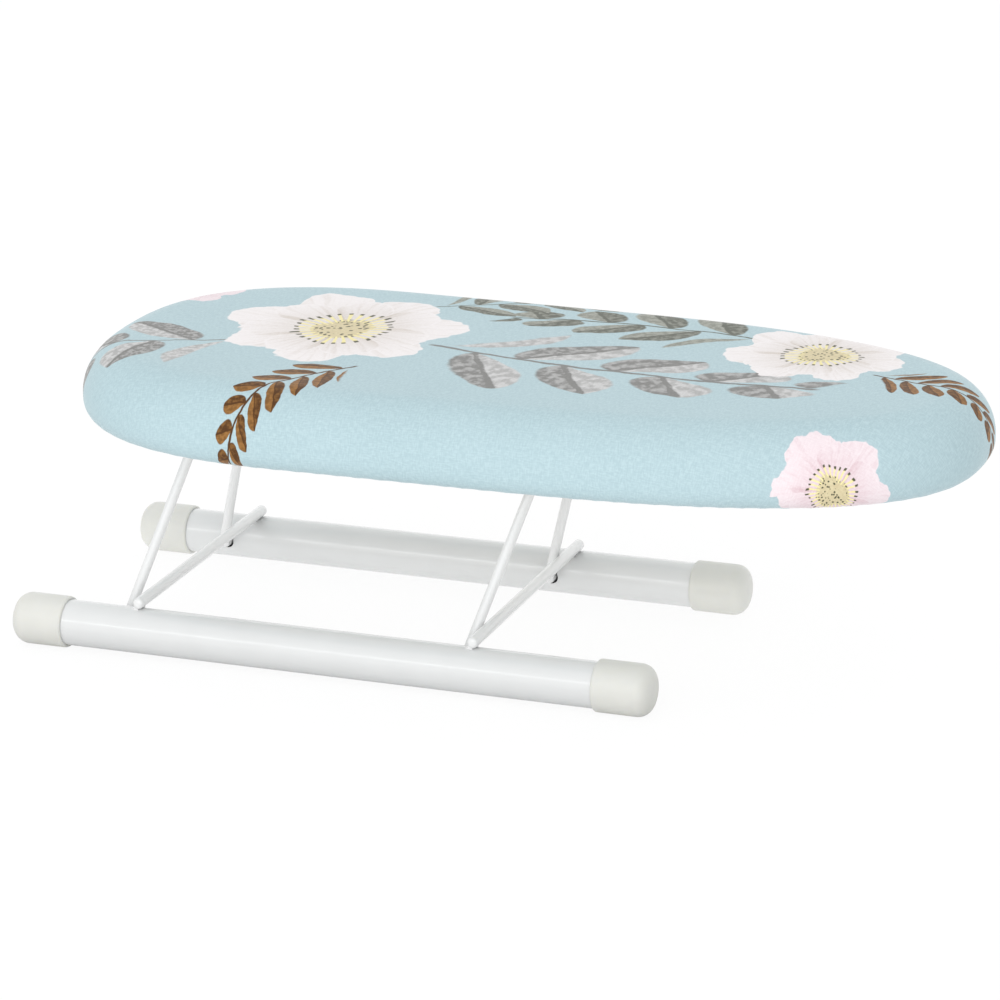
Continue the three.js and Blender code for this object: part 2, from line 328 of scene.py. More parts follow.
class Field:
    """A value at each point of a surface: a socket in a shader, with arithmetic that adds nodes."""

    def __init__(self, shader, socket):
        self.shader = shader
        self.socket = socket

    def math(self, operation, *others):
        entries = dict(enumerate((self, *others)))
        return self.shader.add("ShaderNodeMath", entries, operation=operation)

    def __add__(self, other):
        return self.math("ADD", other)

    def __sub__(self, other):
        return self.math("SUBTRACT", other)

    def __mul__(self, other):
        return self.math("MULTIPLY", other)

    def __truediv__(self, other):
        return self.math("DIVIDE", other)

    def __pow__(self, other):
        return self.math("POWER", other)

    def __abs__(self):
        return self.math("ABSOLUTE")

    def step(self, low, high):
        """0 below low, 1 above high, and smooth between."""
        entries = {0: self, 1: low, 2: high}
        return self.shader.add("ShaderNodeMapRange", entries, interpolation_type="SMOOTHSTEP")

    def between(self, low, high):
        """From low where this is 0 to high where it is 1."""
        return self.shader.add("ShaderNodeMapRange", {0: self, 3: low, 4: high})


class Nodes:
    """Short ways to add nodes to a tree."""

    def __init__(self, tree):
        self.tree = tree

    def feed(self, entry, value):
        if isinstance(value, Field):
            self.tree.links.new(value.socket, entry)
        else:
            entry.default_value = value

    def add(self, kind, entries=None, output=0, **settings):
        node = self.tree.nodes.new(kind)
        for name, value in settings.items():
            setattr(node, name, value)
        for name, value in (entries or {}).items():
            self.feed(node.inputs[name], value)
        return Field(self, node.outputs[output])

    def plane(self, vector):
        """The X and the Y of a vector."""
        node = self.add("ShaderNodeSeparateXYZ", {0: vector}).socket.node
        return Field(self, node.outputs["X"]), Field(self, node.outputs["Y"])


class Shader(Nodes):
    """A material with one principled surface."""

    def __init__(self, name):
        self.material = bpy.data.materials.new(name)
        self.material.use_nodes = True
        super().__init__(self.material.node_tree)
        self.surface = self.tree.nodes["Principled BSDF"]

    def finish(self, **entries):
        """Sets the surface's own sockets, named with _ for a space."""
        for name, value in entries.items():
            self.feed(self.surface.inputs[name.replace("_", " ")], value)
        return self.material

    def place(self):
        return self.add("ShaderNodeTexCoord", output="Object")

    def noise(self, vector, scale, detail=2.0, output="Fac"):
        entries = {"Vector": vector, "Scale": scale, "Detail": detail}
        return self.add("ShaderNodeTexNoise", entries, output=output)

    def stretched(self, vector, scales):
        return self.add("ShaderNodeMapping", {"Vector": vector, "Scale": scales})

    def mix(self, share, first, second, blend="MIX"):
        entries = {0: share, 6: first, 7: second}
        return self.add("ShaderNodeMix", entries, output=2, data_type="RGBA", blend_type=blend)

    def bump(self, height, strength, distance):
        entries = {"Strength": strength, "Distance": distance, "Height": height}
        return self.add("ShaderNodeBump", entries, output="Normal")


def white_paint(name, dull, bright):
    """Glossy powder coat, with the faint waviness of a baked coat."""
    shader = Shader(name)
    place = shader.place()
    cloud = shader.noise(place, 45.0)
    peel = shader.noise(place, 1400.0, 1.0)
    tint = shader.mix(cloud, colour(*dull), colour(*bright))
    return shader.finish(
        Base_Color=tint,
        Roughness=cloud.between(0.30, 0.42),
        Normal=shader.bump(peel, 0.15, 0.02 * MM),
        Coat_Weight=0.6,
        Coat_Roughness=0.09,
    )


def cap_plastic():
    """Satin off-white plastic, a little milky, with the fine grain of its mould."""
    shader = Shader("cap_plastic")
    place = shader.place()
    cloud = shader.noise(place, 70.0)
    grain = shader.noise(place, 2600.0, 1.0)
    dull, bright = CAP_WHITES
    tint = shader.mix(cloud, colour(*dull), colour(*bright))
    return shader.finish(
        Base_Color=tint,
        Roughness=cloud.between(0.40, 0.52),
        Normal=shader.bump(grain, 0.15, 0.02 * MM),
        Specular_IOR_Level=0.45,
        Subsurface_Weight=0.3,
        Subsurface_Radius=(1.0, 0.95, 0.75),
        Subsurface_Scale=1.5 * MM,
    )


def sponge():
    """Open-cell sponge: pores of two sizes in cream, the pores darker as painted shade in their hollows."""
    shader = Shader("sponge")
    place = shader.place()
    pores = shader.add("ShaderNodeTexVoronoi", {"Vector": place, "Scale": 900.0})
    cells = shader.noise(place, 1500.0)
    # painted shade: the pores are coloured darker than the cream around them
    tint = shader.mix(pores.step(0.1, 0.5), colour(216, 208, 186), colour(243, 239, 226))
    return shader.finish(
        Base_Color=tint,
        Roughness=0.95,
        Normal=shader.bump(pores + cells, 0.6, 0.4 * MM),
    )


def fibreboard():
    """Pressed fibre under a pale paper face, with the flecks of its fibres."""
    shader = Shader("fibreboard")
    place = shader.place()
    fleck = shader.noise(place, 900.0, 4.0)
    cloud = shader.noise(place, 28.0)
    fibre = shader.mix(fleck.step(0.30, 0.62), colour(216, 213, 206), colour(232, 230, 225))
    tint = shader.mix(cloud.between(0.0, 0.5), fibre, colour(225, 222, 216))
    return shader.finish(
        Base_Color=tint,
        Roughness=0.86,
        Normal=shader.bump(fleck, 0.35, 0.08 * MM),
    )


def zinc_plate():
    """Bright zinc on pressed steel."""
    shader = Shader("zinc_plate")
    place = shader.place()
    cloud = shader.noise(place, 420.0)
    tint = shader.mix(cloud, colour(196, 200, 204), colour(214, 214, 208))
    return shader.finish(
        Base_Color=tint,
        Metallic=1.0,
        Roughness=cloud.between(0.26, 0.42),
        Normal=shader.bump(cloud, 0.1, 0.03 * MM),
    )


class Weave:
    """Plain-weave cotton on the flat coordinates of the cloth: thread heights and slubs."""

    def __init__(self, shader):
        self.flat = shader.add("ShaderNodeUVMap", output="UV", uv_map="cloth")
        warp = shader.noise(shader.stretched(self.flat, (300, 1300, 1)), 1.0, 3.0)
        weft = shader.noise(shader.stretched(self.flat, (1300, 300, 1)), 1.0, 3.0)
        across, along = shader.plane(self.flat)
        turns = 2 * math.pi / THREAD_PITCH
        threads = (across * turns).math("SINE") * (along * turns).math("SINE")
        self.slub = (warp + weft) * 0.5
        self.height = self.slub * 1.6 + threads * 0.25


def cotton():
    """Pale blue cotton with a print of open flowers and leafy sprigs."""
    shader = Shader("printed_cotton")
    weave = Weave(shader)
    paint = printed(shader, weave)
    faded = shader.mix(weave.slub.step(0.38, 0.66), colour(0, 0, 0), colour(255, 255, 255))
    return shader.finish(
        Base_Color=shader.mix(0.09, paint, faded, "OVERLAY"),
        Roughness=0.88,
        Normal=shader.bump(weave.height, 0.4, 0.1 * MM),
        Sheen_Weight=0.26,
        Sheen_Roughness=0.35,
        Specular_IOR_Level=0.25,
    )


def plain_cotton():
    """The blue cotton without its print, for the hem."""
    shader = Shader("plain_cotton")
    place = shader.place()
    slub = shader.noise(place, 700.0, 3.0)
    tint = shader.mix(slub, colour(166, 190, 197), colour(180, 203, 209))
    return shader.finish(
        Base_Color=tint,
        Roughness=0.9,
        Normal=shader.bump(slub, 0.5, 0.15 * MM),
        Sheen_Weight=0.18,
        Sheen_Roughness=0.4,
    )


def thread():
    """White sewing thread."""
    shader = Shader("thread")
    twist = shader.noise(shader.place(), 3000.0)
    tint = shader.mix(twist, colour(214, 224, 226), colour(238, 240, 238))
    return shader.finish(Base_Color=tint, Roughness=0.8)


# The print: motifs on the flat cloth, painted one over another

GROUND = (colour(170, 193, 199), colour(176, 198, 204))
PETAL = (colour(230, 226, 226), colour(198, 189, 180))
BLUSH = (colour(228, 216, 220), colour(208, 182, 188))
HEART = (colour(206, 194, 158), colour(84, 84, 66), colour(232, 222, 164))
GREY_LEAF = (colour(124, 124, 122), colour(196, 196, 196))
OLIVE_LEAF = (colour(92, 95, 85), colour(156, 158, 149))
BROWN_LEAF = (colour(84, 54, 26), colour(146, 104, 56))

# Each flower: place on the cloth and radius in millimetres, turn in degrees, petals, colours
FLOWERS = (
    ((-214, 66), 30, 5, 6, BLUSH),
    ((-104, 14), 70, 14, 7, PETAL),
    ((158, 44), 52, 41, 7, PETAL),
    ((212, -104), 36, 20, 6, BLUSH),
)

# Each sprig: place of its foot and length in millimetres, turn in degrees, bend, leaf pairs,
# leaf length as a share of the sprig's, colours
SPRIGS = (
    ((118, 62), 140, 166, 0.25, 4, 0.30, OLIVE_LEAF),
    ((-44, -2), 215, -15, 0.2, 4, 0.27, GREY_LEAF),
    ((-152, -22), 130, 206, -0.25, 3, 0.34, GREY_LEAF),
    ((-70, -52), 120, 226, 0.35, 8, 0.20, BROWN_LEAF),
    ((196, 18), 100, -20, 0.3, 8, 0.22, BROWN_LEAF),
    ((-70, 70), 95, 35, -0.3, 4, 0.32, OLIVE_LEAF),
)


def placed(shader, flat, place, size, turn):
    """A motif's own coordinates, in units of its size. Place and size are in millimetres."""
    spot = shader.add(
        "ShaderNodeMapping",
        {
            "Vector": flat,
            "Location": (place[0] * MM, place[1] * MM, 0),
            "Rotation": (0, 0, math.radians(turn)),
            "Scale": (size * MM, size * MM, 1),
        },
        vector_type="TEXTURE",
    )
    return shader.plane(spot)


def flower(shader, flat, under, place, radius, turn, petals, tones):
    """An open flower: two rings of ruffled petals about a dotted heart with stamens."""
    x, y = placed(shader, flat, place, radius, turn)
    reach = (x * x + y * y) ** 0.5
    angle = y.math("ARCTAN2", x) * (petals / (2 * math.pi))
    ruffle = shader.noise(flat, 4.2 / (radius * MM), 2.0) - 0.5
    for ring_reach, offset in ((1.0, 0.5), (0.82, 0.0)):
        cell = angle + offset
        across = cell.math("FRACT") - 0.5
        own = shader.add("ShaderNodeTexWhiteNoise", {"W": cell.math("FLOOR")}, noise_dimensions="1D")
        lobe = (across * math.pi).math("COSINE")
        edge = (lobe ** 0.5 * 0.36 + 0.56 + own * 0.10 + ruffle * 0.22) * ring_reach
        petal = (edge - reach).step(0.0, 0.02)
        streak_spot = shader.add(
            "ShaderNodeCombineXYZ",
            {0: across * 15.0, 1: reach * 1.6, 2: cell.math("FLOOR") * 3.7},
        )
        streak = shader.noise(streak_spot, 1.0, 3.0).step(0.46, 0.72)
        overlap = across.step(0.22, 0.5)
        depth = reach.step(0.85, 0.2)
        rim = (edge - reach).step(0.05, 0.0)
        dim = streak * 0.30 + overlap * 0.40 + depth * 0.45 - rim * 0.3
        tone = shader.mix(dim.math("MAXIMUM", 0.0).math("MINIMUM", 1.0), *tones)
        under = shader.mix(petal, under, tone)
    dots = shader.add("ShaderNodeTexVoronoi", {"Vector": flat, "Scale": 21.0 / (radius * MM)})
    speck = shader.mix(dots.step(0.26, 0.40), HEART[1], HEART[0])
    under = shader.mix((reach + ruffle * 0.2).step(0.27, 0.24), under, speck)
    ray = abs((angle * (30 / petals)).math("FRACT") - 0.5).step(0.24, 0.14)
    crown = abs(reach + ruffle * 0.2 - 0.30).step(0.10, 0.07)
    tip = abs(reach + ruffle * 0.2 - 0.385).step(0.03, 0.015) * ray
    under = shader.mix(ray * crown, under, HEART[2])
    return shader.mix(tip, under, HEART[1])


def sprig(shader, flat, under, place, length, turn, bend, pairs, leaf, tones):
    """A bent stem with leaves in turn on both sides, shorter towards its tip."""
    x, y = placed(shader, flat, place, length, turn)
    y = y - x * x * bend
    out = abs(y)
    along = x - out * 0.85
    side = y.math("GREATER_THAN", 0.0)
    across = (along * float(pairs) + side * 0.5).math("FRACT") - 0.5
    share = out / ((along * -0.75 + 1.0).math("MAXIMUM", 0.05) * leaf)
    belly = (share * (share * -1.0 + 1.0) * 4.0).math("MAXIMUM", 0.0) ** 0.8
    blade = (belly * 0.44 - abs(across)).step(0.0, 0.05)
    ends = along.step(0.02, 0.04) * along.step(0.98, 0.96)
    stem = out.step(0.008, 0.003) * x.step(-0.02, 0.0) * x.step(1.0, 0.98)
    rib = abs(across).step(0.05, 0.02) * 0.7
    wash = shader.noise(flat, 38.0 / (length * MM), 3.0)
    light = (across.step(-0.06, 0.06) * 0.55 + wash.step(0.4, 0.65) * 0.55 - rib).math("MAXIMUM", 0.0)
    tone = shader.mix(light.math("MINIMUM", 1.0), *tones)
    under = shader.mix(blade * ends, under, tone)
    return shader.mix(stem, under, tones[0])


def printed(shader, weave):
    """The whole print, with the wavering edges of a hand-painted design."""
    waver = shader.noise(weave.flat, 26.0, 1.0, "Color")
    shake = shader.noise(weave.flat, 190.0, 1.0, "Color")
    moved = weave.flat
    for wander, size in ((waver, 9 * MM), (shake, 1.6 * MM)):
        centred = shader.add("ShaderNodeVectorMath", {0: wander, 1: (0.5, 0.5, 0.5)}, operation="SUBTRACT")
        entries = {0: centred, 1: (size, size, 0), 2: moved}
        moved = shader.add("ShaderNodeVectorMath", entries, operation="MULTIPLY_ADD")
    paint = shader.mix(shader.noise(weave.flat, 18.0), *GROUND)
    for place, length, turn, bend, pairs, leaf, tones in SPRIGS:
        paint = sprig(shader, moved, paint, place, length, turn, bend, pairs, leaf, tones)
    for place, radius, turn, petals, tones in FLOWERS:
        paint = flower(shader, moved, paint, place, radius, turn, petals, tones)
    return paint


# Feet

joints = {joint["name"]: joint for joint in frame["record"]["behaviour"]["joints"]}
pivots = {
    "left": Vector(joints["left_leg_fold"]["pos_m"]),
    "right": Vector(joints["right_leg_fold"]["pos_m"]),
}
left_bar = Vector(joints["board_level"]["pos_m"])
bar_offset = left_bar - pivots["left"]


def foot_tube(label, material):
    node = f"{label}_foot_tube"
    low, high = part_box(node)
    centre = (low + high) / 2
    radius = (high.z - low.z) / 2
    half = (high.x - low.x) / 2
    bore = radius - TUBE_WALL
    profile = [(bore, -half), (radius, -half), (radius, half), (bore, half)]
    points, faces = turned(profile, TUBE_SIDES, X, closed=True)
    tube = new_object(f"{node}_painted", new_mesh(node, points + np.array(centre), faces))
    inner_side = -math.copysign(1, centre.y)
    cutters = []
    for pivot in pivots.values():
        hole = [(0, 0), (HOLE_RADIUS, 0), (HOLE_RADIUS, radius * 1.5), (0, radius * 1.5)]
        hole_points, hole_faces = turned(hole, TUBE_SIDES // 2, Y)
        start = np.array((pivot.x, centre.y, pivot.z))
        cutters.append((hole_points * (1, inner_side, 1) + start, hole_faces))
    carved(tube, cutters)
    round_wall(tube.data, centre, radius)
    return dress(tube, material, "base", "white_paint", node)


def round_wall(mesh, centre, radius):
    """Points the normals of a tube's outer wall away from its axis, also beside the holes cut in it."""
    normals = []
    for face in mesh.polygons:
        outward = face.center - centre
        outward.x = 0
        outermost = outward.length > radius - TUBE_WALL / 4
        on_wall = outermost and face.normal.angle(outward) < SHARP
        for vertex in face.vertices:
            spoke = mesh.vertices[vertex].co - centre
            spoke.x = 0
            normals.append(spoke.normalized() if on_wall else face.normal)
    mesh.normals_split_custom_set(normals)


def end_cap(label, end, material):
    node = f"{label}_{end}_end_cap"
    low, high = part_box(node)
    radius = (high.z - low.z) / 2
    length = high.x - low.x
    bore = radius - CAP_WALL
    corner = (radius - CAP_CORNER, CAP_CORNER + CAP_CROWN)
    inner_round = bore - corner[0]
    lip_centre = Vector((radius, length)) - LIP_ROUND
    lip = [
        (lip_centre.x + LIP_ROUND.x * across, lip_centre.y + LIP_ROUND.y * along)
        for across, along in arc((0, 0), 1, 0, 90, 8)
    ]
    profile = [
        (0, 0),
        (corner[0] / 2, CAP_CROWN / 4),
        *arc(corner, CAP_CORNER, -90, 0, 16),
        *lip,
        (bore, length),
        *arc(corner, inner_round, 0, -90, 8),
        (0, corner[1] - inner_round),
    ]
    points, faces = turned(profile, TUBE_SIDES, X)
    way = 1 if end == "right" else -1
    tip = Vector((high.x if way > 0 else low.x, (low.y + high.y) / 2, (low.z + high.z) / 2))
    mesh = new_mesh(node, points * (-way, 1, 1) + np.array(tip), faces)
    return dress(new_object(f"{node}_moulded", mesh), material, "base", "cap_plastic", node)


def ball(size, place, sides=20):
    """An ellipsoid of these half sizes."""
    profile = [(max(a, 0), b) for a, b in arc((0, 0), 1, -90, 90, sides // 2)]
    points, faces = turned(profile, sides, Z)
    return points * np.array(size) + np.array(place), faces


def weld(rod, rod_radius, tube_low, tube_high):
    """The fillet that holds a rod on a tube, on the rod's tail side, run out at both its ends."""
    axis = (tube_low + tube_high) / 2
    tube_radius = (tube_high.z - tube_low.z) / 2
    points = []
    inwards = -math.copysign(1, axis.y)
    shares = np.linspace(-1, 1, 15)
    for share in shares:
        y = inwards * np.interp(share, (-1, 1), WELD_REACH)
        floor = axis.z + math.sqrt(tube_radius ** 2 - y ** 2)
        rise = rod.z - floor
        radius = max(WELD_RADIUS * math.sqrt(1 - share ** 2), (rise - rod_radius) * WELD_LEAST)
        across = math.sqrt((rod_radius + radius) ** 2 - (rise - radius) ** 2)
        end = math.degrees(math.atan2(rise - radius, across))
        section = arc((-across, floor + radius), radius, -90, end, 8)
        section += [(0, rod.z), (0, floor - TUBE_WALL / 2)]
        points.extend((rod.x + x, axis.y + y, z) for x, z in section)
    return points, closed_faces(len(shares), len(section))


def cross_rod(label, material):
    """A rod with rounded ends, and the welds that hold it on both tubes."""
    node = f"{label}_cross_rod"
    low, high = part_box(node)
    centre = (low + high) / 2
    radius = (high.z - low.z) / 2
    half = (high.y - low.y) / 2
    flat = radius - ROD_ROUND
    profile = [
        (0, -half),
        *arc((flat, -half + ROD_ROUND), ROD_ROUND, -90, 0, 6),
        *arc((flat, half - ROD_ROUND), ROD_ROUND, 0, 90, 6),
        (0, half),
    ]
    points, faces = turned(profile, WIRE_SIDES * 2, Y)
    shapes = [(points + np.array(centre), faces)]
    for tube in ("front_foot_tube", "rear_foot_tube"):
        shapes.append(weld(centre, radius, *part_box(tube)))
    mesh = new_mesh(node, *joined(shapes))
    return dress(new_object(f"{node}_welded", mesh), material, "base", "white_paint", node)


# Legs


def leg_path():
    """The middle of a leg's wire from foot to foot, as (across, up, heading), in the plane of the leg."""
    tube_low, tube_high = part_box("rear_foot_tube")
    shoulder = tube_low.y - PIVOT_SHOULDER
    in_tube = PIVOT_SHOULDER + TUBE_WALL + PIVOT_REACH
    inwards = BAR_LENGTH / 2 - shoulder
    upwards = math.hypot(bar_offset.x, bar_offset.z) - FOOT_BEND - TOP_BEND
    bends = FOOT_BEND + TOP_BEND
    centres = math.hypot(inwards, upwards)
    turn = math.pi - math.atan2(upwards, inwards) + math.asin(bends / centres)
    path = [(shoulder + in_tube, 0.0, math.pi)]

    def run(length):
        y, s, heading = path[-1]
        path.append((y + length * math.cos(heading), s + length * math.sin(heading), heading))

    def bend(radius, angle):
        step = angle / BEND_STEPS
        chord = 2 * radius * math.sin(abs(step) / 2)
        for _ in range(BEND_STEPS):
            y, s, heading = path[-1]
            middle = heading + step / 2
            path.append((y + chord * math.cos(middle), s + chord * math.sin(middle), heading + step))

    run(in_tube)
    bend(FOOT_BEND, -turn)
    run(math.sqrt(centres ** 2 - bends ** 2))
    bend(TOP_BEND, turn)
    mirrored = [(-y, s, 2 * math.pi - heading) for y, s, heading in reversed(path)]
    return path + mirrored


def leg_frame(label, material):
    node = f"{label}_leg_frame"
    turn = np.arange(WIRE_SIDES) * 2 * np.pi / WIRE_SIDES
    lean = math.atan2(bar_offset.x, bar_offset.z)
    path = leg_path()
    points = []
    for y, s, heading in path:
        across = WIRE_RADIUS * np.cos(turn)
        x = WIRE_RADIUS * np.sin(turn)
        up = s + across * math.cos(heading)
        leant = np.column_stack([
            x * math.cos(lean) + up * math.sin(lean),
            y - across * math.sin(heading),
            up * math.cos(lean) - x * math.sin(lean),
        ])
        points.append(leant + np.array(pivots[label]))
    mesh = new_mesh(node, np.vstack(points), closed_faces(len(path), WIRE_SIDES))
    obj = new_object(f"{node}_painted", mesh)
    return dress(obj, material, f"{label}_leg", "white_paint", node)


# Board

cover_low, cover_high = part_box("cotton_cover")
board_length = cover_high.x - cover_low.x
board_thickness = cover_high.z - cover_low.z
board_middle = (cover_low.x + cover_high.x) / 2


def half_width(x):
    """Half the board's width, at a distance from the tail tip."""
    flank = (TAIL_WIDTH + (NOSE_WIDTH - TAIL_WIDTH) * x / board_length) / 2
    tail = 1 - np.minimum(x / TAIL_ROUND, 1)
    nose = 1 - np.minimum((board_length - x) / NOSE_ROUND, 1)
    tail_share = (1 - tail ** TAIL_POWER) ** (1 / TAIL_POWER)
    nose_share = (1 - nose ** NOSE_POWER) ** (1 / NOSE_POWER)
    return flank * tail_share * nose_share


def evenly(line, count, closed=False):
    """Points at even steps along a line, and how far along each is."""
    line = np.asarray(line)
    if closed:
        line = np.vstack([line, line[:1]])
    run = np.concatenate([[0], np.cumsum(np.linalg.norm(np.diff(line, axis=0), axis=1))])
    even = np.linspace(0, run[-1], count, endpoint=not closed)
    return np.column_stack([np.interp(even, run, part) for part in line.T]), even


def board_outline(count):
    """The board's edge from above, from the tail tip along the front, and the way inwards at each point."""
    x = board_length * (1 - np.cos(np.linspace(0, np.pi, OUTLINE_STEPS))) / 2
    front = np.column_stack([x, -half_width(x)])
    rear = front[-2:0:-1] * (1, -1)
    points, _ = evenly(np.vstack([front, rear]), count, closed=True)
    along = np.roll(points, -1, 0) - np.roll(points, 1, 0)
    along /= np.linalg.norm(along, axis=1)[:, None]
    return points + (cover_low.x, 0), np.column_stack([-along[:, 1], along[:, 0]])


def ring(outline, inset, height):
    """The outline drawn in by an inset, at a height above the board's underside."""
    points, inward = outline
    level = np.full(len(points), cover_low.z + height)
    return np.column_stack([points + inward * inset, level])


def rim_section(depth):
    """The rounded edge as (inset, height), from the flat top to underneath, at a depth in the cover."""
    upper = arc((RIM_TOP, board_thickness - RIM_TOP), RIM_TOP - depth, 90, 180, RIM_STEPS[0])
    lower = arc((RIM_BOTTOM, RIM_BOTTOM), RIM_BOTTOM - depth, 180, 270, RIM_STEPS[1])
    return upper + lower


def smoothed(share):
    share = np.clip(share, 0, 1)
    return share * share * (3 - 2 * share)


def pucker(count):
    """Uneven gathers round the cover, from -1 to 1."""
    turn = np.arange(count) * 2 * np.pi / count
    drift = 2.3 * np.sin(5 * turn + 0.7) + 1.6 * np.sin(11 * turn + 2.1) + 1.1 * np.sin(17 * turn + 4.0)
    swell = 0.75 + 0.25 * np.sin(7 * turn + 1.3) * np.sin(13 * turn + 0.4)
    return np.cos(PUCKERS * turn + drift) * swell


def cover_shape():
    """Points of the cover as it is drawn in, as it would hang loose, and flat; with its rows and facing."""
    outline = board_outline(OUTLINE_POINTS)
    section, run = evenly(rim_section(0) + [(RIM_BOTTOM + COVER_TURN, 0)], SECTION_STEPS + 1)
    loose_from = RIM_TOP * math.pi / 2 + RIM_BAND
    edge = ring(outline, RIM_TOP, 0)
    inward = outline[1]
    middle = np.array((board_middle, 0))
    waves = pucker(OUTLINE_POINTS)
    drawn, loose, flat = [], [], []
    for share in np.linspace(0, 1, TOP_RINGS + 1)[1:-1]:
        points = middle + (edge[:, :2] - middle) * share
        height = board_thickness + CROWN * (1 - share ** 2) ** 2
        level = np.full(OUTLINE_POINTS, cover_low.z + height)
        top = np.column_stack([points, level])
        drawn.append(top)
        loose.append(top)
        flat.append(points)
    for (inset, height), length in zip(section, run):
        row = ring(outline, inset, height)
        below = max(length - loose_from, 0)
        give = smoothed(below / (run[-1] - loose_from)) ** PUCKER_FADE * PUCKER_HEIGHT
        steep = np.clip(1 - height / RIM_BOTTOM, 0, 1) if below else 0
        facing = np.column_stack([-inward * (1 - steep), np.full(OUTLINE_POINTS, -steep)])
        drawn.append(row + facing * (waves * give)[:, None])
        loose.append(ring(outline, 0, RIM_BOTTOM - below) if below else row)
        flat.append(edge[:, :2] - inward * length)
    slack = (run - loose_from) / (run[-1] - loose_from)
    return np.array(drawn), np.array(loose), np.array(flat), section, np.clip(slack, 0, 1)


def sewn_cover(material):
    """The cotton cover: smooth over the pad, gathered under the board by its hem."""
    drawn, loose, flat, section, slack = cover_shape()
    rows, count = drawn.shape[:2]
    centre = Vector((board_middle, 0, cover_high.z + CROWN))
    points = [tuple(centre), *map(tuple, drawn.reshape(-1, 3))]
    faces = [(0, 1 + i, 1 + (i + 1) % count) for i in range(count)]
    faces += [tuple(1 + i for i in face[::-1]) for face in loop_faces(rows, count)]
    mesh = bpy.data.meshes.new("cotton_cover")
    mesh.from_pydata(points, [], faces)
    mesh.shade_smooth()
    cover = new_object("cotton_cover_sewn", mesh)
    gather(cover, drawn, loose, section, slack)
    uv = mesh.uv_layers.new(name="cloth")
    flat_points = np.vstack([[(board_middle, 0)], flat.reshape(-1, 2)])
    corners = np.empty(len(mesh.loops), dtype=int)
    mesh.loops.foreach_get("vertex_index", corners)
    uv.data.foreach_set("uv", flat_points[corners].ravel())
    thick = cover.modifiers.new("cloth_thickness", "SOLIDIFY")
    thick.thickness = CLOTH
    thick.offset = -1
    return dress(cover, material, "board", "cotton", "cotton_cover")


def gather(cover, drawn, loose, section, slack):
    """Lets the cloth find its gathers: it was cut to hang loose, and its hem holds it under the board."""
    mesh = cover.data
    rows, count = drawn.shape[:2]
    free = np.zeros(rows)
    free[TOP_RINGS - 1:][(slack > 0) & (slack < 1)] = 1
    pins = cover.vertex_groups.new(name="held")
    for row in range(rows):
        if not free[row]:
            first = 1 + row * count
            pins.add(range(first, first + count), 1.0, "REPLACE")
    pins.add([0], 1.0, "REPLACE")
    cover.shape_key_add(name="drawn")
    rest = cover.shape_key_add(name="loose")
    centre = np.array(mesh.vertices[0].co)
    rest.data.foreach_set("co", np.vstack([centre[None], loose.reshape(-1, 3)]).ravel())
    modifier = cover.modifiers.new("cloth", "CLOTH")
    settings = modifier.settings
    settings.quality = 8
    settings.mass = 0.15
    settings.tension_stiffness = 20
    settings.compression_stiffness = 20
    settings.shear_stiffness = 8
    settings.bending_stiffness = 2
    settings.tension_damping = 15
    settings.compression_damping = 15
    settings.vertex_group_mass = "held"
    settings.rest_shape_key = rest
    settings.effector_weights.gravity = 0
    modifier.collision_settings.use_collision = False
    modifier.point_cache.frame_end = SIM_FRAMES
    scene = bpy.context.scene
    for moment in range(1, SIM_FRAMES + 1):
        scene.frame_set(moment)
    evaluated = cover.evaluated_get(bpy.context.evaluated_depsgraph_get())
    moved = np.array([vertex.co for vertex in evaluated.data.vertices])
    cover.modifiers.clear()
    cover.shape_key_clear()
    cover.vertex_groups.clear()
    scene.frame_set(1)
    facing = smooth_facing(section, count)
    rest_rows = np.array([ring(board_outline(count), inset, height) for inset, height in section])
    shape = moved[1:].reshape(rows, count, 3)
    section_rows = shape[TOP_RINGS - 1:]
    stand = np.einsum("ijk,ijk->ij", section_rows - rest_rows, facing)
    room = smoothed(slack)[:, None] ** PUCKER_FADE
    capped = np.clip(stand, PUCKER_LIMITS[0] * room, PUCKER_LIMITS[1] * room)
    shape[TOP_RINGS - 1:] = section_rows + facing * (capped - stand)[..., None]
    mesh.vertices.foreach_set("co", np.vstack([moved[:1], shape.reshape(-1, 3)]).ravel())
    mesh.update()


def smooth_facing(section, count):
    """The way out of the board's rounded edge, at each point of each row."""
    inward = board_outline(count)[1]
    slopes = np.gradient(np.array(section), axis=0)
    slopes /= np.linalg.norm(slopes, axis=1)[:, None]
    facing = []
    for inset_step, height_step in slopes:
        out = np.column_stack([inward * height_step, np.full(count, -inset_step)])
        facing.append(out)
    return np.array(facing)


def gathered_hem(material):
    """The elastic's channel: a tube of cloth, ruffled by the pull of the elastic."""
    outline = board_outline(HEM_POINTS)
    line = ring(outline, HEM_INSET, -HEM_DROP)
    inward = outline[1]
    turn = np.arange(HEM_POINTS) * 2 * np.pi / HEM_POINTS
    ruffle = pucker(HEM_POINTS)
    crimp = np.cos(CRIMPS * turn + 2.0 * np.sin(9 * turn))
    around = np.arange(HEM_SIDES) * 2 * np.pi / HEM_SIDES
    rings = []
    for angle in around:
        gathers = HEM_SWELL[0] * ruffle * math.cos(angle)
        swell = 1 + gathers + HEM_SWELL[1] * crimp * math.cos(3 * angle + 0.6)
        out = HEM_RADII[0] * math.cos(angle) * swell
        up = HEM_RADII[1] * math.sin(angle) * swell + HEM_SWAY * ruffle
        rings.append(line + np.column_stack([inward * out[:, None], up]))
    mesh = new_mesh("cover_hem", np.vstack(rings), loop_faces(HEM_SIDES, HEM_POINTS, closed=True))
    obj = new_object("cover_hem_gathered", mesh)
    return dress(obj, material, "board", "cotton", "cover_hem")


